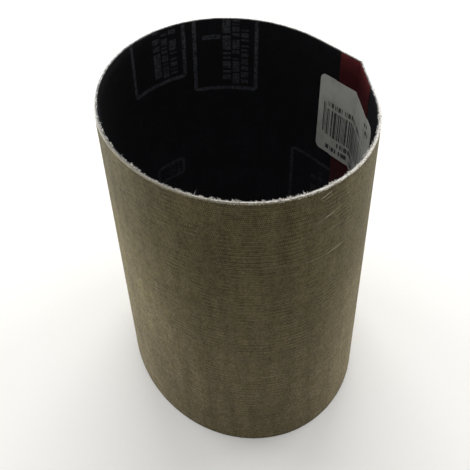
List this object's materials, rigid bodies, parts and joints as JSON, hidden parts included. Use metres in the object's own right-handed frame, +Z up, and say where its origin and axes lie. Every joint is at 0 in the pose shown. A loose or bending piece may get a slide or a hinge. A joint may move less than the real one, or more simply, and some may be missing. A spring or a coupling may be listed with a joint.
{
  "type": "sanding belt",
  "caption": "Short wide sanding belt standing on edge: cloth-backed abrasive loop with a taped butt splice and a paper stock label inside.",
  "frame": {"origin": "middle of the bounding box's underside, on the plane that the lower cut edge stands on", "axes": "+Z up along the belt's width, +Y along the long axis of the relaxed oval, +X towards the spliced side"},
  "size_m": [0.0836, 0.1054, 0.1],
  "materials": {
    "abrasive_cloth": "khaki-grey structured grain in resin, matt and gritty",
    "backing_cloth": "black resin-filled woven backing, matt, with faint grey print",
    "cut_edge": "pale frayed yarns at the cut edges",
    "splice_tape": "dark red fibre-reinforced film, satin",
    "label_paper": "coated white paper with black bars"
  },
  "bodies": {
    "root": {"abrasive_belt": "abrasive_cloth", "splice_tape": "splice_tape", "paper_label": "label_paper"}
  },
  "joints": []
}
